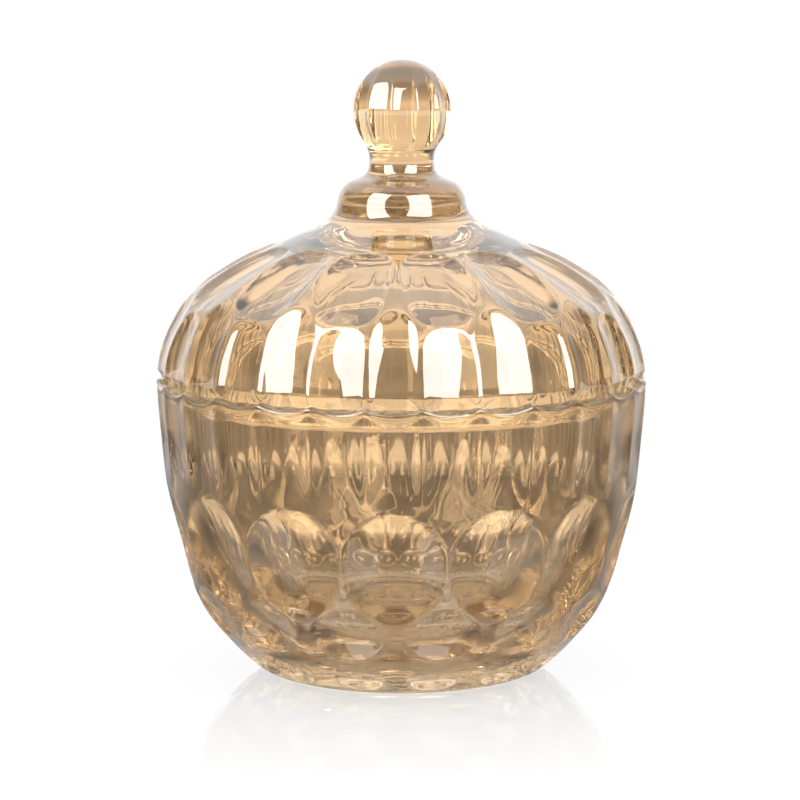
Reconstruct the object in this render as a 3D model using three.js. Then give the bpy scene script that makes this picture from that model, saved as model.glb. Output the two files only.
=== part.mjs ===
// Lidded pressed-glass jar: a footed bowl and a domed lid with a ball knob.
// Millimetres, +Z up, origin at the centre of the foot's flat underside.
// Both pieces are turned bodies whose outer face is modulated round the axis:
// hollow flutes near the seam, rings of thumbprint hollows above and below it,
// and a seam that rises to a cusp at every flute ridge.
import * as THREE from 'three';
import { mergeVertices } from 'three/addons/utils/BufferGeometryUtils.js';

// ---------------------------------------------------------------- dimensions
const FLUTES = 28;            // flutes round the jar and the lid
const PRINTS = FLUTES / 2;    // thumbprint hollows in each ring
const STEPS = 84;             // steps round the axis: two in each flute and one on each ridge
const GAP = 0.3;              // clearance between lid and jar at every face
const SEAM_Z = 71.8;          // mean height of the lid's lower edge
const SEAM_WAVE = 1.4;        // rise from mid flute to ridge along the seam
const EDGE_Z = 74.4;          // the lid's flutes end here, in a chamfer down to the seam
const CHAMFER = 1.35;         // how far the chamfer comes in
const FLUTE_DEPTH = 1.35;     // hollow of a flute below its ridges
const FLUTE_POW = 2.4;        // how flat the flute's middle is
const FLUTE_END = 5;          // how round the arch at the top of a lid flute is
const SEAT_R = 56.9;          // the seat follows the seam's wave out from here
const SEAT_IN_R = 56.1;       // and is flat in from here
const FLOOR_Z = 9.0;          // inside floor above the table
const MOUTH_R = 55.4;         // inside radius of the mouth
const FLANGE_R = 54.8;        // locating flange of the lid, outer radius
const FLANGE_IN_R = 52.0;     // and inner radius
const FLANGE_Z = 66.2;        // lowest point of the flange
const KNOB_R = 12.2;
const KNOB_Z = 136.9;
const KNOB_FLUTES = 12;
const KNOB_DEPTH = 0.75;

// outer envelope of the bowl, through the ridges: [z, r]
const BOWL = [
  [1.4, 35.4], [2.9, 37.35], [4.3, 38.9], [5.9, 40.6], [8.7, 43.1], [11.8, 45.8], [14.6, 47.95],
  [17.4, 49.55], [19.0, 50.35], [21.8, 51.45], [23.3, 51.9], [26.2, 52.85], [30.6, 54.1], [35.0, 55.4],
  [39.4, 56.45], [43.7, 57.2], [49.6, 58.0], [55.6, 58.7], [61.5, 59.3], [65.9, 59.7], [70.0, 59.9], [74.0, 60.0],
];
// outer envelope of the lid, through the ridges: [z, r]
const DOME = [
  [71.0, 59.9], [74.6, 59.8], [78.7, 59.1], [81.6, 58.2], [84.5, 56.9], [87.2, 55.3], [88.7, 54.4], [90.2, 53.4],
  [91.6, 52.4], [92.9, 51.3], [94.4, 49.8], [95.8, 48.2], [97.1, 46.1], [98.6, 43.7], [100.1, 41.2],
  [101.5, 38.5], [102.9, 35.1], [104.4, 31.1], [106.0, 27.3], [107.5, 23.7], [109.1, 19.94], [110.7, 17.6],
  [112.2, 16.55], [113.7, 15.95], [115.1, 15.65], [116.6, 15.3], [118.0, 14.55], [119.4, 13.0], [120.4, 10.6],
  [120.9, 9.4], [122.4, 8.15], [123.9, 7.95], [125.3, 7.9], [126.8, 8.15],
];

// ---------------------------------------------------------------- helpers
const lerpTable = (t, x) => {
  if (x <= t[0][0]) return t[0][1];
  for (let i = 1; i < t.length; i++) {
    if (x <= t[i][0]) {
      const k = (x - t[i - 1][0]) / (t[i][0] - t[i - 1][0]);
      return t[i - 1][1] + k * (t[i][1] - t[i - 1][1]);
    }
  }
  return t[t.length - 1][1];
};
const clamp01 = (x) => Math.min(1, Math.max(0, x));
// angle theta is measured from a flute's middle; u runs -1..1 from ridge to ridge
const inPitch = (theta, count, offset = 0) => {
  const pitch = (2 * Math.PI) / count;
  const t = theta - offset;
  return t - pitch * Math.round(t / pitch);
};
const fluteU = (theta) => inPitch(theta, FLUTES) / (Math.PI / FLUTES);
const fluteIsUnderPrint = (theta) => Math.abs(Math.round(theta / ((2 * Math.PI) / FLUTES))) % 2;
const seamWave = (theta) => SEAM_WAVE * (fluteU(theta) ** 2 - 0.5);

// a dished oval hollow: depth at the angle and height given
const hollow = (theta, z, o) => {
  const a = inPitch(theta, PRINTS, o.offset) / o.halfAngle;
  const v = (z - o.z) / (z > o.z ? o.up : o.down);
  return o.depth * (1 - a * a - v * v);
};
const PITCH = (2 * Math.PI) / PRINTS;
// bowl: big prints below the even flutes, small ones staggered under them
const BIG = { offset: 0, halfAngle: 0.218, z: 34.0, up: 13.9, down: 13.2, depth: 3.5 };
const MID = { offset: PITCH / 2, halfAngle: 0.176, z: 17.0, up: 6.9, down: 6.4, depth: 2.5 };
const LOW = { offset: PITCH / 2, halfAngle: 0.156, z: 5.0, up: 3.7, down: 3.3, depth: 1.7 };
// lid: one ring, above the odd flutes, measured along the dome's own surface
const TOP = { offset: PITCH / 2, half: 8.55, length: 13.6, square: 2.8, taper: 0.01, z: 99.1, depth: 4.0 };

// distance along the dome's outline from its lowest point, against height
const DOME_ARC = DOME.slice(0, 22).map(([z], i, rows) => {
  let sum = 0;
  for (let k = 1; k <= i; k++) sum += Math.hypot(rows[k][0] - rows[k - 1][0], rows[k][1] - rows[k - 1][1]);
  return [z, sum];
});
const thumbprint = (theta, z, o) => {
  const s = lerpTable(DOME_ARC, z) - lerpTable(DOME_ARC, o.z);
  const a = (Math.abs(inPitch(theta, PRINTS, o.offset)) * lerpTable(DOME, z)) / (o.half * (1 - o.taper * s));
  return o.depth * (1 - a ** o.square - (Math.abs(s) / o.length) ** o.square);
};

const fluteCut = (theta, fade) => FLUTE_DEPTH * (1 - Math.abs(fluteU(theta)) ** FLUTE_POW) - FLUTE_DEPTH * fade;

const bowlRadius = (theta, z) => {
  const run = clamp01((z - 46) / 13);
  const cut = Math.max(0, fluteCut(theta, 0) * run * run * (3 - 2 * run), hollow(theta, z, BIG), hollow(theta, z, MID), hollow(theta, z, LOW));
  return lerpTable(BOWL, z) - cut;
};
const lidRadius = (theta, z) => {
  const top = fluteIsUnderPrint(theta) ? 90.0 : 93.6;
  const fade = clamp01((z - 76) / (top - 76)) ** FLUTE_END;
  const cut = Math.max(0, fluteCut(theta, fade), thumbprint(theta, z, TOP));
  return lerpTable(DOME, z) - cut;
};

// Turns a profile round the axis and then moves every point with shape(theta, row)
// which returns [r, z]. The profile starts and ends on the axis.
const turned = (rows, shape) => {
  const lathe = new THREE.LatheGeometry(rows.map(([r, z]) => new THREE.Vector2(r, z)), STEPS);
  const pos = lathe.getAttribute('position');
  const n = rows.length;
  for (let i = 0; i <= STEPS; i++) {
    const theta = (2 * Math.PI * ((i % STEPS) + 0.5)) / STEPS;
    for (let j = 0; j < n; j++) {
      const [r, z] = rows[j][0] < 1e-9 ? rows[j] : shape(theta, rows[j]);
      // a flute's middle faces -Y
      pos.setXYZ(i * n + j, r * Math.sin(theta), -r * Math.cos(theta), z);
    }
  }
  lathe.deleteAttribute('normal');
  lathe.deleteAttribute('uv');
  const g = mergeVertices(lathe, 1e-5);
  // drop the slivers that close up on the axis
  const idx = g.getIndex().array;
  const keep = [];
  for (let t = 0; t < idx.length; t += 3) {
    const [a, b, c] = [idx[t], idx[t + 1], idx[t + 2]];
    if (a !== b && b !== c && a !== c) keep.push(a, c, b);
  }
  g.setIndex(keep);
  // signed volume tells which way the faces point
  const p = g.getAttribute('position');
  const [A, B, C] = [new THREE.Vector3(), new THREE.Vector3(), new THREE.Vector3()];
  let volume = 0;
  for (let t = 0; t < keep.length; t += 3) {
    A.fromBufferAttribute(p, keep[t]);
    B.fromBufferAttribute(p, keep[t + 1]);
    C.fromBufferAttribute(p, keep[t + 2]);
    volume += A.dot(B.cross(C));
  }
  if (volume < 0) {
    for (let t = 0; t < keep.length; t += 3) [keep[t + 1], keep[t + 2]] = [keep[t + 2], keep[t + 1]];
    g.setIndex(keep);
  }
  g.computeVertexNormals();
  return g;
};

// ---------------------------------------------------------------- bowl
// rows are [r, z, kind, seam share]; kind 'o' is the fluted outer face,
// 's' keeps its radius and follows the seam, 'i' is plain.
const bowlRows = [[0, 0, 'i', 0], [30.0, 0, 'i', 0], [33.6, 0.55, 'i', 0]];
for (const z of [1.6, 3.8, 5.6, 8.0, 10.5, 14, 17, 20.5, 23.5, 27.5, 34, 40.5, 46.5, 50, 56, 64, 69.2]) {
  bowlRows.push([0.1, z, 'o', clamp01((z - 60) / 9.2)]);
}
bowlRows.push(
  [59.6, 70.55, 'b', 1], [59.95, 71.05, 'b', 1], [59.35, SEAM_Z - GAP, 'b', 1],
  [SEAT_R, SEAM_Z - GAP, 's', 1], [SEAT_IN_R, SEAM_Z - GAP, 's', 0],
  [MOUTH_R, SEAM_Z - GAP - 0.7, 'i', 0], [55.1, 66, 'i', 0], [54.3, 56.5, 'i', 0], [52.4, 45.5, 'i', 0], [49.3, 35, 'i', 0],
  [45.0, 25.5, 'i', 0], [39.6, 17.6, 'i', 0], [33.6, 12, 'i', 0], [28.6, 9.8, 'i', 0], [24.5, FLOOR_Z, 'i', 0], [0, FLOOR_Z, 'i', 0],
);
const bowlShape = (theta, [r, z, kind, share]) => {
  const w = share * seamWave(theta);
  if (kind === 'o') return [bowlRadius(theta, z), z + w];
  if (kind === 'b') return [r - 0.5 * (1 - Math.abs(fluteU(theta)) ** FLUTE_POW), z + w];
  return [r, z + w];
};

// ---------------------------------------------------------------- lid
const lidRows = [[0, KNOB_Z + KNOB_R, 'i', 0]];
for (const a of [64, 40, 17, -6, -28]) {
  const t = (a * Math.PI) / 180;
  lidRows.push([KNOB_R * Math.cos(t), KNOB_Z + KNOB_R * Math.sin(t), 'k', 0]);
}
lidRows.push([8.05, 127.2, 'i', 0], [7.9, 124.4, 'i', 0], [8.3, 122, 'i', 0]);
for (const z of [120.4, 118.8, 115.2, 111.6, 108.2, 105.2, 102, 98, 94, 91.2, 88.6, 84, 78, EDGE_Z]) {
  lidRows.push([0.1, z, z < 107 ? 'o' : 'd', 0]);
}
lidRows.push(
  [CHAMFER, SEAM_Z, 'c', 1], [SEAT_R, SEAM_Z, 's', 1], [SEAT_IN_R, SEAM_Z, 's', 0],
  [FLANGE_R, SEAM_Z - 0.7, 'i', 0], [FLANGE_R - 0.2, FLANGE_Z + 0.5, 'i', 0], [FLANGE_R - 0.8, FLANGE_Z, 'i', 0],
  [FLANGE_IN_R + 0.6, FLANGE_Z, 'i', 0], [FLANGE_IN_R, FLANGE_Z + 0.6, 'i', 0],
  [51.8, 74, 'i', 0], [51.0, 80, 'i', 0], [49.2, 85.8, 'i', 0], [45.0, 91.6, 'i', 0],
  [38.0, 96.4, 'i', 0], [28.5, 100.7, 'i', 0], [15, 103.8, 'i', 0], [0, 104.8, 'i', 0],
);
const lidShape = (theta, [r, z, kind, share]) => {
  const w = share * seamWave(theta);
  if (kind === 'o') return [lidRadius(theta, z), z + w];
  if (kind === 'd') return [lerpTable(DOME, z), z];
  if (kind === 'c') return [lidRadius(theta, EDGE_Z) - r, z + w];
  if (kind === 'k') {
    const u = inPitch(theta, KNOB_FLUTES, 0.1) / (Math.PI / KNOB_FLUTES);
    const k = clamp01(1 - ((z - KNOB_Z) / 10.6) ** 2);
    return [r - KNOB_DEPTH * k * (1 - Math.abs(u) ** 2.2), z];
  }
  return [r, z + w];
};

// ---------------------------------------------------------------- assembly
const glass = () => new THREE.MeshStandardMaterial({
  color: 0xd9b98a, roughness: 0.04, metalness: 0, transparent: true, opacity: 0.45,
});
const jar = new THREE.Group();
const body = new THREE.Mesh(turned(bowlRows, bowlShape), glass());
body.name = 'jar_body';
const lid = new THREE.Mesh(turned(lidRows, lidShape), glass());
lid.name = 'lid';
jar.add(body, lid);

export default jar;
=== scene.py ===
import bpy, math
import numpy as np
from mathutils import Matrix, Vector


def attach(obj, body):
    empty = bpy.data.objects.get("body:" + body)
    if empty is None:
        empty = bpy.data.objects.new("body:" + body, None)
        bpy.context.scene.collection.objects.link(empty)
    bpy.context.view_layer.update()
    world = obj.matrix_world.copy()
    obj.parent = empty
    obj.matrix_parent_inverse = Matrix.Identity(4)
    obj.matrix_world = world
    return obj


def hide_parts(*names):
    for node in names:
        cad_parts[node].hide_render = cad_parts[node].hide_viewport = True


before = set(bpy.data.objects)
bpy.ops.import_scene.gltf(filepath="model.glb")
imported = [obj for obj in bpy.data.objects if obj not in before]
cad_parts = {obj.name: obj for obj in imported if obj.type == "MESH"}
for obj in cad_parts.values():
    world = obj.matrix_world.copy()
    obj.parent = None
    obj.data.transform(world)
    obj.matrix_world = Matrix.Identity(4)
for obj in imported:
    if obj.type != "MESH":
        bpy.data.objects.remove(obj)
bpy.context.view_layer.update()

MM = 0.001

# ------------------------------------------------------------------ camera
RIM_Z = 71.3
CAM_D, CAM_ELEV, CAM_AZ, FOCAL_PX = 780.0, math.radians(7.6), math.radians(1.7), 3188.5
cam_data = bpy.data.cameras.new("camera")
cam = bpy.data.objects.new("camera", cam_data)
bpy.context.scene.collection.objects.link(cam)
bpy.context.scene.camera = cam
cam_data.sensor_width = 36.0
cam_data.lens = FOCAL_PX / 800.0 * 36.0
cam_data.clip_start, cam_data.clip_end = 0.01, 50.0
look_e = CAM_ELEV + math.atan(21.0 / FOCAL_PX)
horiz = CAM_D * math.cos(CAM_ELEV)
pos = Vector((horiz * math.sin(CAM_AZ), -horiz * math.cos(CAM_AZ), RIM_Z + CAM_D * math.sin(CAM_ELEV))) * MM
az = CAM_AZ + 1.6 / FOCAL_PX
fwd = Vector((-math.sin(az) * math.cos(look_e), math.cos(az) * math.cos(look_e), -math.sin(look_e)))
cam.location = pos
cam.rotation_euler = fwd.to_track_quat("-Z", "Y").to_euler()

# ------------------------------------------------------------------ shape
FLUTES, PRINTS, KNOB_FLUTES = 28, 14, 12
PER = 20                       # steps to a flute
N = FLUTES * PER
GAP, SEAM_Z, WAVE, EDGE_Z, CHAMFER = 0.3, 71.8, 1.4, 74.4, 1.35
FD, FP = 1.35, 2.4             # flute depth and how flat its middle is
SEAT_R, SEAT_IN_R, MOUTH_R = 56.9, 56.1, 55.4
FLANGE_R, FLANGE_IN_R, FLANGE_Z = 54.8, 52.0, 66.2
FLOOR_Z, KNOB_R, KNOB_Z, KNOB_DEPTH = 9.0, 12.2, 136.9, 0.75
PITCH = 2 * math.pi / PRINTS

BOWL = np.array([
    (1.4, 35.4), (2.9, 37.35), (4.3, 38.9), (5.9, 40.6), (8.7, 43.1), (11.8, 45.8), (14.6, 47.95),
    (17.4, 49.55), (19.0, 50.35), (21.8, 51.45), (23.3, 51.9), (26.2, 52.85), (30.6, 54.1), (35.0, 55.4),
    (39.4, 56.45), (43.7, 57.2), (49.6, 58.0), (55.6, 58.7), (61.5, 59.3), (65.9, 59.7), (70.0, 59.9), (74.0, 60.0)])
DOME = np.array([
    (71.0, 59.9), (74.6, 59.8), (78.7, 59.1), (81.6, 58.2), (84.5, 56.9), (87.2, 55.3), (88.7, 54.4), (90.2, 53.4),
    (91.6, 52.4), (92.9, 51.3), (94.4, 49.8), (95.8, 48.2), (97.1, 46.1), (98.6, 43.7), (100.1, 41.2),
    (101.5, 38.5), (102.9, 35.1), (104.4, 31.1), (106.0, 27.3), (107.5, 23.7), (109.1, 19.94), (110.7, 17.6),
    (112.2, 16.55), (113.7, 15.95), (115.1, 15.65), (116.6, 15.3), (118.0, 14.55), (119.4, 13.0), (120.4, 10.6),
    (120.9, 9.4), (122.4, 8.15), (123.9, 7.95), (125.3, 7.9), (126.8, 8.15)])


def resample(pts, step):
    """Points every step mm along a polyline."""
    pts = np.asarray(pts, float)
    seg = np.hypot(*np.diff(pts, axis=0).T)
    s = np.concatenate([[0], np.cumsum(seg)])
    n = max(2, int(round(s[-1] / step)) + 1)
    t = np.linspace(0, s[-1], n)
    return np.stack([np.interp(t, s, pts[:, 0]), np.interp(t, s, pts[:, 1])], 1)


def smooth(pts, sigma, step=0.1):
    """A polyline resampled and smoothed along its length, ends kept."""
    p = resample(pts, step)
    k = int(sigma / step * 3)
    w = np.exp(-0.5 * (np.arange(-k, k + 1) * step / sigma) ** 2)
    w /= w.sum()
    out = np.empty_like(p)
    for c in range(2):
        ext = np.concatenate([2 * p[0, c] - p[k:0:-1, c], p[:, c], 2 * p[-1, c] - p[-2:-k - 2:-1, c]])
        out[:, c] = np.convolve(ext, w, "valid")
    return out


def table(pts, sigma):
    """Radius against height from [z, r] pairs, smoothed."""
    p = smooth(pts, sigma)
    z, r = p[:, 0], p[:, 1]
    keep = np.concatenate([[True], np.diff(z) > 1e-6])
    return z[keep], r[keep]


BOWL_T = table(BOWL, 1.6)
DOME_LO = table(DOME[:22], 1.6)
DOME_HI = table(DOME[16:], 0.45)


def bowl_env(z):
    return np.interp(z, *BOWL_T)


def dome_env(z):
    lo, hi = np.interp(z, *DOME_LO), np.interp(z, *DOME_HI)
    k = np.clip((z - 104.5) / 3.0, 0, 1)
    k = k * k * (3 - 2 * k)
    return lo * (1 - k) + hi * k


def in_pitch(theta, count, offset=0.0):
    p = 2 * math.pi / count
    t = theta - offset
    return t - p * np.round(t / p)


def flute_u(theta):
    return in_pitch(theta, FLUTES) / (math.pi / FLUTES)


def smax(a, b, k):
    """Smooth maximum with blend width k."""
    h = np.clip(0.5 + 0.5 * (a - b) / k, 0, 1)
    return b * (1 - h) + a * h + k * h * (1 - h)


def ridge(u, p, soft):
    """0 at a flute's middle and about 1 at its ridges, with the last share of the way rounded over."""
    a = np.abs(u)
    w = np.clip((1 - a) / soft, 0, 1)
    edge = (1 - soft) ** p
    return np.where(a > 1 - soft, edge + (p * soft / 2) * (1 - w * w) * edge, a ** p)


RIDGE_SOFT, FLUTE_END = 0.14, 5.0


def flute_cut(theta, fade):
    g = ridge(flute_u(theta), FP, RIDGE_SOFT)
    return FD * (1 - g) - FD * fade


def hollow(theta, z, o):
    a = in_pitch(theta, PRINTS, o["offset"]) / o["half"]
    v = (z - o["z"]) / np.where(z > o["z"], o["up"], o["down"])
    return o["depth"] * (1 - a * a - v * v)


ARC_Z = np.linspace(72, 112, 1601)
ARC_S = np.concatenate([[0], np.cumsum(np.hypot(np.diff(ARC_Z), np.diff(dome_env(ARC_Z))))])


def thumbprint(theta, z, o):
    """An oval of constant width on the dome: width across and length along the dome's own surface."""
    s = np.interp(z, ARC_Z, ARC_S) - np.interp(o["z"], ARC_Z, ARC_S)
    a = np.abs(in_pitch(theta, PRINTS, o["offset"])) * dome_env(z) / (o["half"] * (1 - o["taper"] * s))
    v = np.abs(s) / o["length"]
    return o["depth"] * (1 - a ** o["square"] - v ** o["square"])


BIG = dict(offset=0.0, half=0.218, z=34.0, up=13.9, down=13.2, depth=3.5, rim=0.55)
MID = dict(offset=PITCH / 2, half=0.176, z=17.0, up=6.9, down=6.4, depth=2.5, rim=0.5)
LOW = dict(offset=PITCH / 2, half=0.156, z=5.0, up=3.7, down=3.3, depth=1.7, rim=0.4)
TOP = dict(offset=PITCH / 2, half=8.55, length=13.6, square=2.8, taper=0.010, z=99.1, depth=4.0, rim=0.6)
K = 0.22                       # rounding where a flute runs out


def bowl_radius(theta, z):
    run = np.clip((z - 46.0) / 13.0, 0, 1)
    cut = smax(flute_cut(theta, 0.0) * run * run * (3 - 2 * run), 0.0, K)
    for o in (BIG, MID, LOW):
        cut = smax(cut, hollow(theta, z, o), o["rim"])
    return bowl_env(z) - cut + K / 4


def lid_radius(theta, z):
    odd = np.abs(np.round(theta / (2 * math.pi / FLUTES))).astype(int) % 2
    top = np.where(odd == 1, 90.0, 93.6)
    fade = np.clip((z - 76) / (top - 76), 0, None) ** FLUTE_END
    cut = smax(flute_cut(theta, fade), 0.0, K)
    cut = smax(cut, thumbprint(theta, z, TOP), TOP["rim"])
    return dome_env(z) - cut + K / 4


def seam_wave(theta):
    u = flute_u(theta)
    a = np.abs(u)
    soft = 0.12
    c = np.where(a > 1 - soft, (1 - soft) ** 2 + (1 - (1 - soft) ** 2) * (1 - ((1 - a) / soft) ** 2) * 0.62, a * a)
    return WAVE * (c - 0.5)


def knob_cut(theta, z):
    u = in_pitch(theta, KNOB_FLUTES, 0.1) / (math.pi / KNOB_FLUTES)
    k = np.clip(1 - ((z - KNOB_Z) / 10.6) ** 2, 0, 1)
    return KNOB_DEPTH * k * (1 - ridge(u, 2.2, 0.12))


def revolve(name, rows, coated):
    """A closed surface from rows of (radii, heights), each either numbers or arrays round the axis, the first and last on the axis.
    The strips between rows coated[0] and coated[1] carry the lustre coat, which thins out towards the foot."""
    theta = 2 * math.pi * np.arange(N) / N
    s, c = np.sin(theta), -np.cos(theta)
    verts, faces = [], []
    first, last = rows[0], rows[-1]
    ring = []
    for r, z in rows[1:-1]:
        r = np.broadcast_to(np.asarray(r, float), (N,))
        z = np.broadcast_to(np.asarray(z, float), (N,))
        ring.append(np.stack([r * s, r * c, z], 1))
    M = len(ring)
    V = np.concatenate([[[0, 0, first[1]]]] + ring + [[[0, 0, last[1]]]]) * MM
    idx = 1 + np.arange(M * N).reshape(M, N)
    nxt = np.roll(idx, -1, axis=1)
    quads = np.stack([idx[:-1], nxt[:-1], nxt[1:], idx[1:]], -1).reshape(-1, 4)
    fan0 = np.stack([np.zeros(N, int), nxt[0], idx[0]], 1)
    fan1 = np.stack([np.full(N, 1 + M * N), idx[-1], nxt[-1]], 1)
    # outward?
    vol = 0.0
    for q in (quads,):
        a, b, cc, d = (V[q[:, i]] for i in range(4))
        vol += np.einsum("ij,ij->i", a, np.cross(b, cc)).sum() + np.einsum("ij,ij->i", a, np.cross(cc, d)).sum()
    if vol < 0:
        quads, fan0, fan1 = quads[:, ::-1], fan0[:, ::-1], fan1[:, ::-1]
    me = bpy.data.meshes.new(name)
    nv, nq, nt = len(V), len(quads), 2 * N
    me.vertices.add(nv)
    me.vertices.foreach_set("co", V.astype(np.float32).ravel())
    loops = np.concatenate([quads.ravel(), fan0.ravel(), fan1.ravel()]).astype(np.int32)
    me.loops.add(len(loops))
    me.loops.foreach_set("vertex_index", loops)
    start = np.concatenate([np.arange(nq) * 4, nq * 4 + np.arange(nt) * 3]).astype(np.int32)
    me.polygons.add(nq + nt)
    me.polygons.foreach_set("loop_start", start)
    me.update(calc_edges=True)
    strip = np.repeat(np.arange(M - 1), N) + 1
    which = np.concatenate([strip, np.zeros(N, int), np.full(N, M)])
    height = np.array([0.0] + [g[:, 2].mean() for g in ring])[np.minimum(which, M)]
    film = ((which >= coated[0]) & (which < coated[1])) * np.clip(0.3 + 0.7 * (height - 3) / 7, 0.3, 1)
    coat = me.attributes.new("coat", "FLOAT", "FACE")
    coat.data.foreach_set("value", film.astype(np.float32))
    me.polygons.foreach_set("use_smooth", np.ones(len(me.polygons), bool))
    me.update()
    o = bpy.data.objects.new(name, me)
    bpy.context.scene.collection.objects.link(o)
    return o


theta = 2 * math.pi * np.arange(N) / N
WV = seam_wave(theta)
GU = ridge(flute_u(theta), FP, RIDGE_SOFT)


def fade01(x):
    x = np.clip(x, 0, 1)
    return x * x * (3 - 2 * x)


# bowl: foot, fluted and dished outside, bead, seat, plain inside
rows = [(0, 0)]
for r in (8, 18, 26, 29.2):
    rows.append((r, 0.0))
bowl_from = len(rows) - 1
foot = smooth([(29.2, 0.0), (31.6, 0.06), (33.6, 0.6), (35.2, 1.45)], 0.35, 0.05)
foot = resample(foot, 0.6)
for r, z in foot[1:-1]:
    rows.append((r, max(z, 0)))
zs = [1.5]
while zs[-1] < 69.3:
    z = zs[-1]
    zs.append(z + (0.45 if z < 12 else 0.6 if z < 26 else 0.75 if z < 54 else 1.2))
zs = np.array(zs) * (69.4 - 1.5) / (zs[-1] - 1.5) + 1.5 * (1 - (69.4 - 1.5) / (zs[-1] - 1.5))
for z in zs:
    w = fade01((z - 58) / 11.4)
    rows.append((bowl_radius(theta, z), z + w * WV))
base = bowl_radius(theta, 69.4)
# bead: a half round roll that follows the seam
BEAD_R, BEAD_Z, BEAD_C = 0.62, 70.86, 59.30
ins = 0.45 * (1 - GU)
for a in (-62, -38, -15, 8, 31, 54, 76, 90):
    t = math.radians(a)
    rows.append((BEAD_C - ins + BEAD_R * math.cos(t), BEAD_Z + WV + BEAD_R * math.sin(t)))
bowl_to = len(rows) - 1
SEAT = SEAM_Z - GAP
for k in (0.25, 0.5, 0.75, 1.0):
    r = (BEAD_C - ins) * (1 - k) + SEAT_R * k
    rows.append((r, SEAT + WV + (BEAD_Z + BEAD_R - SEAT) * (1 - k)))
for k in (0.33, 0.66, 1.0):
    rows.append((SEAT_R + (SEAT_IN_R - SEAT_R) * k, SEAT + WV * (1 - fade01(k))))
inner = smooth([(SEAT_IN_R, SEAT), (MOUTH_R + 0.1, SEAT - 0.15), (MOUTH_R, SEAT - 0.9), (55.1, 66), (54.3, 56.5), (52.4, 45.5), (49.3, 35),
                (45.0, 25.5), (39.6, 17.6), (33.6, 12), (28.6, 9.8), (24.5, FLOOR_Z), (18, FLOOR_Z)], 0.5, 0.05)
lo = resample(inner, 0.35)[1:9]
rest = resample(smooth(inner[int(len(inner) * 0.035):], 2.0, 0.1), 2.6)
for r, z in lo:
    rows.append((r, z))
for r, z in rest[1:]:
    if z < lo[-1][1] - 0.3:
        rows.append((r, max(z, FLOOR_Z)))
rows += [(12, FLOOR_Z), (6, FLOOR_Z), (0, FLOOR_Z)]
bowl = revolve("glass_bowl", rows, (bowl_from, bowl_to))

# lid
rows = [(0, KNOB_Z + KNOB_R)]
for a in np.linspace(86, -41, 46):
    t = math.radians(a)
    z = KNOB_Z + KNOB_R * math.sin(t)
    rows.append((KNOB_R * math.cos(t) - knob_cut(theta, z), z))
z_neck = KNOB_Z + KNOB_R * math.sin(math.radians(-41))
neck = smooth([(KNOB_R * math.cos(math.radians(-41)), z_neck), (8.35, 127.7), (8.0, 126.4), (7.85, 124.6), (7.95, 123.2), (8.5, 121.7), (9.6, 120.9),
               (11.2, 120.35), (13.0, 119.5), (14.4, 118.2), (15.2, 116.7), (15.6, 115.1), (15.95, 113.6), (16.55, 112.2), (17.6, 110.8),
               (19.7, 109.3), (23.6, 107.6), (27.3, 106.0), (31.1, 104.4)], 0.5, 0.05)
neck = resample(neck, 0.55)
for r, z in neck[1:]:
    if z > 107.4:
        rows.append((r, z))
    else:
        break
zz = [107.2]
while zz[-1] > EDGE_Z:
    z = zz[-1]
    zz.append(z - (0.26 if z > 100 else 0.38 if z > 90 else 0.6 if z > 86 else 0.9))
zz = np.array(zz)
zz = 107.2 - (107.2 - zz) * (107.2 - EDGE_Z) / (107.2 - zz[-1])
zz = np.concatenate([zz[:-1], [EDGE_Z + 0.3, EDGE_Z + 0.1, EDGE_Z]])
for z in zz:
    rows.append((lid_radius(theta, z), z + 0 * WV))
edge = lid_radius(theta, EDGE_Z)
for k in (0.05, 0.15, 0.4, 0.65, 0.9, 0.97):
    rows.append((edge - CHAMFER * k, EDGE_Z + (SEAM_Z + WV - EDGE_Z) * k))
c_r = edge - CHAMFER
rows.append((c_r - 0.06, SEAM_Z + WV + 0.02))
lid_to = len(rows) - 1
for k in (0.15, 0.5, 1.0):
    rows.append((c_r * (1 - k) + SEAT_R * k - 0.1 * (1 - k), SEAM_Z + WV))
for k in (0.33, 0.66, 1.0):
    rows.append((SEAT_R + (SEAT_IN_R - SEAT_R) * k, SEAM_Z + WV * (1 - fade01(k))))
inner = smooth([(SEAT_IN_R, SEAM_Z), (FLANGE_R + 0.15, SEAM_Z - 0.15), (FLANGE_R, SEAM_Z - 0.9), (FLANGE_R - 0.15, FLANGE_Z + 1.2), (FLANGE_R - 0.5, FLANGE_Z + 0.25),
                (FLANGE_R - 1.2, FLANGE_Z), (FLANGE_IN_R + 0.9, FLANGE_Z), (FLANGE_IN_R + 0.2, FLANGE_Z + 0.3), (FLANGE_IN_R, FLANGE_Z + 1.2), (51.8, 74)], 0.22, 0.05)
for r, z in resample(inner, 0.45)[1:]:
    rows.append((r, z))
dome_in = smooth([(51.8, 74), (51.0, 80), (49.2, 85.8), (45.0, 91.6), (38.0, 96.4), (28.5, 100.7), (15, 103.8), (-5, 104.9)], 2.2, 0.1)
for r, z in resample(dome_in, 1.7)[1:]:
    if r > 2.0:
        rows.append((r, z))
rows.append((0, 104.85))
lid = revolve("glass_lid", rows, (0, lid_to))

# ------------------------------------------------------------------ nodes
def math_node(op, a, b=None, clamp=False):
    n = nt.nodes.new("ShaderNodeMath")
    n.operation = op
    n.use_clamp = clamp
    for i, v in enumerate((a, b)):
        if v is None:
            continue
        if isinstance(v, (int, float)):
            n.inputs[i].default_value = v
        else:
            nt.links.new(v, n.inputs[i])
    return n.outputs[0]


def step_node(value, lo, hi, out_lo=0.0, out_hi=1.0):
    n = nt.nodes.new("ShaderNodeMapRange")
    n.interpolation_type = "SMOOTHSTEP"
    nt.links.new(value, n.inputs[0])
    for i, v in enumerate((lo, hi, out_lo, out_hi)):
        n.inputs[1 + i].default_value = v
    return n.outputs[0]


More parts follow.
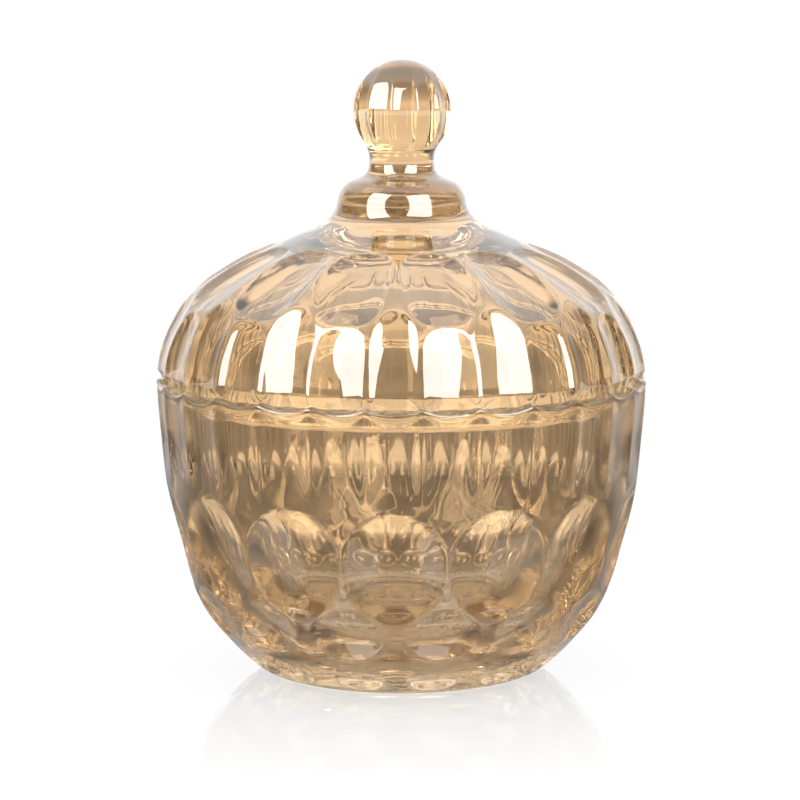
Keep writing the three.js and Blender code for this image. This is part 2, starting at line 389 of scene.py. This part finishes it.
# ------------------------------------------------------------------ glass
# One glass for both pieces, so that a ray that enters by a coated face and leaves by a plain one
# is still tracked as inside the same body. The lustre coat is only on the outer faces.
CLEAR, LUSTRE_THIN, LUSTRE_THICK, COAT_IOR = (1.0, 0.99, 0.97), (0.94, 0.645, 0.365), (0.92, 0.59, 0.30), 1.65
SWELL, PEEL, HAZE = 0.00004, 0.000005, 0.002
m = bpy.data.materials.new("amber_lustre_glass")
m.use_nodes = True
nt = m.node_tree
nt.nodes.clear()
out = nt.nodes.new("ShaderNodeOutputMaterial")
p = nt.nodes.new("ShaderNodeBsdfPrincipled")
p.inputs["IOR"].default_value = 1.5
p.inputs["Transmission Weight"].default_value = 1.0
nt.links.new(p.outputs[0], out.inputs["Surface"])
va = nt.nodes.new("ShaderNodeVolumeAbsorption")
va.inputs["Color"].default_value = (0.80, 0.72, 0.55, 1)
va.inputs["Density"].default_value = 9.0
nt.links.new(va.outputs[0], out.inputs["Volume"])
at = nt.nodes.new("ShaderNodeAttribute")
at.attribute_name = "coat"
tc = nt.nodes.new("ShaderNodeTexCoord")
place = tc.outputs["Object"]


def noise(scale, detail, seed, stretch=(1, 1, 1)):
    """Noise of so many waves to the metre, in the piece's own coordinates."""
    mp = nt.nodes.new("ShaderNodeMapping")
    mp.inputs["Location"].default_value = (seed, seed * 0.37, -seed * 0.61)
    mp.inputs["Scale"].default_value = stretch
    nt.links.new(place, mp.inputs["Vector"])
    n = nt.nodes.new("ShaderNodeTexNoise")
    n.inputs["Scale"].default_value = scale
    n.inputs["Detail"].default_value = detail
    nt.links.new(mp.outputs[0], n.inputs["Vector"])
    return n.outputs["Fac"]


def mix_colour(factor, a, b):
    n = nt.nodes.new("ShaderNodeMix")
    n.data_type = "RGBA"
    sockets = [i for i in n.inputs if i.type == "RGBA"]
    nt.links.new(factor, n.inputs["Factor"])
    for socket, v in zip(sockets, (a, b)):
        if isinstance(v, tuple):
            socket.default_value = (*v, 1)
        else:
            nt.links.new(v, socket)
    return [o for o in n.outputs if o.type == "RGBA"][0]


# the lustre was fumed on: a little thicker in broad clouds and in faint streaks down the wall
cloud = step_node(noise(24.0, 2.0, 3.1), 0.35, 0.65)
streak = step_node(noise(150.0, 3.0, 7.7, (1, 1, 0.12)), 0.40, 0.72)
film = mix_colour(cloud, LUSTRE_THIN, LUSTRE_THICK)
film = mix_colour(math_node("MULTIPLY", streak, 0.35), film, LUSTRE_THICK)
nt.links.new(mix_colour(at.outputs["Fac"], CLEAR, film), p.inputs["Base Color"])
# fire-polished skin: a slow swell left by the mould, a fine orange peel, and faint wiping haze
swell = nt.nodes.new("ShaderNodeBump")
swell.inputs["Strength"].default_value = 1.0
swell.inputs["Distance"].default_value = SWELL
nt.links.new(noise(95.0, 1.0, 1.3), swell.inputs["Height"])
peel = nt.nodes.new("ShaderNodeBump")
peel.inputs["Strength"].default_value = 1.0
peel.inputs["Distance"].default_value = PEEL
nt.links.new(noise(420.0, 1.0, 5.9), peel.inputs["Height"])
nt.links.new(swell.outputs[0], peel.inputs["Normal"])
nt.links.new(peel.outputs[0], p.inputs["Normal"])
nt.links.new(peel.outputs[0], p.inputs["Coat Normal"])
haze = step_node(noise(60.0, 4.0, 9.4), 0.50, 0.80, 0.0, HAZE)
nt.links.new(haze, p.inputs["Roughness"])
# the lustre is a thin metal-oxide film, so coated faces mirror more than bare glass does
nt.links.new(at.outputs["Fac"], p.inputs["Coat Weight"])
p.inputs["Coat Roughness"].default_value = 0.0
p.inputs["Coat IOR"].default_value = COAT_IOR

for o, node, body in ((bowl, "jar_body", "jar"), (lid, "lid", "lid")):
    o.data.materials.append(m)
    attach(o, body)
    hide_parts(node)

# ------------------------------------------------------------------ studio
sc = bpy.context.scene
sc.view_settings.view_transform = "Standard"
sc.view_settings.look = "None"
sc.cycles.max_bounces = 40
sc.cycles.transmission_bounces = 32
sc.cycles.glossy_bounces = 16
sc.cycles.diffuse_bounces = 3
sc.cycles.transparent_max_bounces = 16
sc.cycles.use_denoising = True
sc.cycles.sample_clamp_indirect = 20.0
sc.cycles.caustics_reflective = True
sc.cycles.caustics_refractive = True

ROOM_BACK, ROOM_TOP, ROOM_DARK, FLOOR_R, BOX = 1.3, 1.4, 0.03, 20.0, 7.5
# the pale table's glow as the glass sees it, behind the jar and in front of it, with painted shade: dim near the jar's
# foot and dark on the camera's side: [metres from the jar's axis, level]
FLOOR_BACK_PAINTED_SHADE = [(0.000, 0.10), (0.045, 0.14), (0.080, 0.26), (0.120, 0.42), (0.200, 0.62), (0.350, 0.92), (0.550, 1.00), (0.850, 1.00), (1.0, 1.00)]
FLOOR_FRONT_PAINTED_SHADE = [(0.000, 0.10), (0.045, 0.14), (0.080, 0.20), (0.120, 0.12), (0.200, 0.03), (1.0, 0.03)]
w = bpy.data.worlds.new("studio")
sc.world = w
w.use_nodes = True
nt = w.node_tree
nt.nodes.clear()
wo = nt.nodes.new("ShaderNodeOutputWorld")
bg = nt.nodes.new("ShaderNodeBackground")


tc = nt.nodes.new("ShaderNodeTexCoord")
sep = nt.nodes.new("ShaderNodeSeparateXYZ")
nt.links.new(tc.outputs["Generated"], sep.inputs[0])
X, Y, Z = sep.outputs
# what the glass bends and mirrors: a white sweep behind and overhead, and an unlit room on the camera's side
behind = step_node(Y, 0.50, 0.82, 0.0, ROOM_BACK)
above = step_node(math_node("ADD", Z, math_node("MULTIPLY", Y, 0.5)), 0.52, 0.78, 0.0, ROOM_TOP)
level = math_node("MAXIMUM", math_node("MAXIMUM", behind, above), ROOM_DARK)
nt.links.new(level, bg.inputs[1])
plain = nt.nodes.new("ShaderNodeBackground")
plain.inputs[0].default_value = (1, 1, 1, 1)
plain.inputs[1].default_value = 1.05
lp = nt.nodes.new("ShaderNodeLightPath")
pick = nt.nodes.new("ShaderNodeMixShader")
nt.links.new(lp.outputs["Is Camera Ray"], pick.inputs[0])
nt.links.new(bg.outputs[0], pick.inputs[1])
nt.links.new(plain.outputs[0], pick.inputs[2])
nt.links.new(pick.outputs[0], wo.inputs[0])

# floor: a white table that mirrors the jar faintly near its foot. It glows evenly to the camera; to rays through the
# glass its glow carries painted shade, dim near the jar and dark on the camera's side
me = bpy.data.meshes.new("floor")
ang = 2 * math.pi * np.arange(96) / 96
me.from_pydata([(FLOOR_R * math.cos(t), FLOOR_R * math.sin(t), 0) for t in ang], [], [tuple(range(96))])
floor = bpy.data.objects.new("floor", me)
floor.location.z = -0.0002
sc.collection.objects.link(floor)
fm = bpy.data.materials.new("floor")
fm.use_nodes = True
nt = fm.node_tree
nt.nodes.clear()
fo = nt.nodes.new("ShaderNodeOutputMaterial")
tc = nt.nodes.new("ShaderNodeTexCoord")
ln = nt.nodes.new("ShaderNodeVectorMath")
ln.operation = "LENGTH"
nt.links.new(tc.outputs["Object"], ln.inputs[0])
ramp = nt.nodes.new("ShaderNodeValToRGB")
nt.links.new(math_node("DIVIDE", ln.outputs["Value"], 0.13), ramp.inputs[0])
els = ramp.color_ramp.elements
els[0].position, els[0].color = 0.22, (0.46, 0.46, 0.46, 1)
els[1].position, els[1].color = 1.0, (0, 0, 0, 1)
e = els.new(0.45)
e.color = (0.20, 0.20, 0.20, 1)
e = els.new(0.72)
e.color = (0.09, 0.09, 0.09, 1)
em = nt.nodes.new("ShaderNodeEmission")
em.inputs[0].default_value = (1, 1, 1, 1)


def graded(points):
    """Level against distance from the axis."""
    n = nt.nodes.new("ShaderNodeValToRGB")
    nt.links.new(ln.outputs["Value"], n.inputs[0])
    els = n.color_ramp.elements
    for i, (d, v) in enumerate(points):
        e = els[0] if i == 0 else els[1] if i == len(points) - 1 else els.new(d)
        e.position, e.color = d, (v, v, v, 1)
    return n.outputs[0]


xyz = nt.nodes.new("ShaderNodeSeparateXYZ")
nt.links.new(tc.outputs["Object"], xyz.inputs[0])
# painted shade in the floor's glow: seen through the glass, the table is dimmed near the jar and darkest on the
# camera's side
backness = step_node(math_node("DIVIDE", xyz.outputs["Y"], math_node("ADD", ln.outputs["Value"], 0.01)), -0.1, 0.6)
grade = nt.nodes.new("ShaderNodeMix")
grade.data_type = "FLOAT"
nt.links.new(backness, grade.inputs["Factor"])
nt.links.new(graded(FLOOR_FRONT_PAINTED_SHADE), grade.inputs["A"])
nt.links.new(graded(FLOOR_BACK_PAINTED_SHADE), grade.inputs["B"])
lp = nt.nodes.new("ShaderNodeLightPath")
seen = nt.nodes.new("ShaderNodeMix")
seen.data_type = "FLOAT"
nt.links.new(lp.outputs["Is Camera Ray"], seen.inputs["Factor"])
nt.links.new(grade.outputs["Result"], seen.inputs["A"])
seen.inputs["B"].default_value = 1.04
nt.links.new(seen.outputs["Result"], em.inputs[1])
gl = nt.nodes.new("ShaderNodeBsdfGlossy")
gl.inputs["Roughness"].default_value = 0.05
mx = nt.nodes.new("ShaderNodeMixShader")
nt.links.new(ramp.outputs[0], mx.inputs[0])
nt.links.new(em.outputs[0], mx.inputs[1])
nt.links.new(gl.outputs[0], mx.inputs[2])
nt.links.new(mx.outputs[0], fo.inputs["Surface"])
floor.data.materials.append(fm)


def softbox(name, az_deg, lo_deg, hi_deg, width_deg, dist, power):
    """A tall emitting panel centred at an azimuth (from -Y towards +X), from one elevation to another."""
    a = math.radians(az_deg)
    mid = math.radians((lo_deg + hi_deg) / 2)
    h = 2 * dist * math.tan(math.radians((hi_deg - lo_deg) / 2))
    wd = 2 * dist * math.tan(math.radians(width_deg / 2))
    ld = bpy.data.lights.new(name, "AREA")
    ld.shape = "RECTANGLE"
    ld.size, ld.size_y = wd, h
    ld.energy = power * wd * h * math.pi / 4 * 4
    lo = bpy.data.objects.new(name, ld)
    c = Vector((0, 0, 0.08))
    d = Vector((math.sin(a) * math.cos(mid), -math.cos(a) * math.cos(mid), math.sin(mid)))
    lo.location = c + d * dist
    lo.rotation_euler = (-d).to_track_quat("-Z", "Y").to_euler()
    lo.visible_camera = False
    lo.visible_diffuse = False
    sc.collection.objects.link(lo)
    return lo


softbox("softbox_left", -47, 4, 54, 33, 2.0, BOX)
softbox("softbox_right", 37.5, 4, 50, 39, 2.0, BOX)
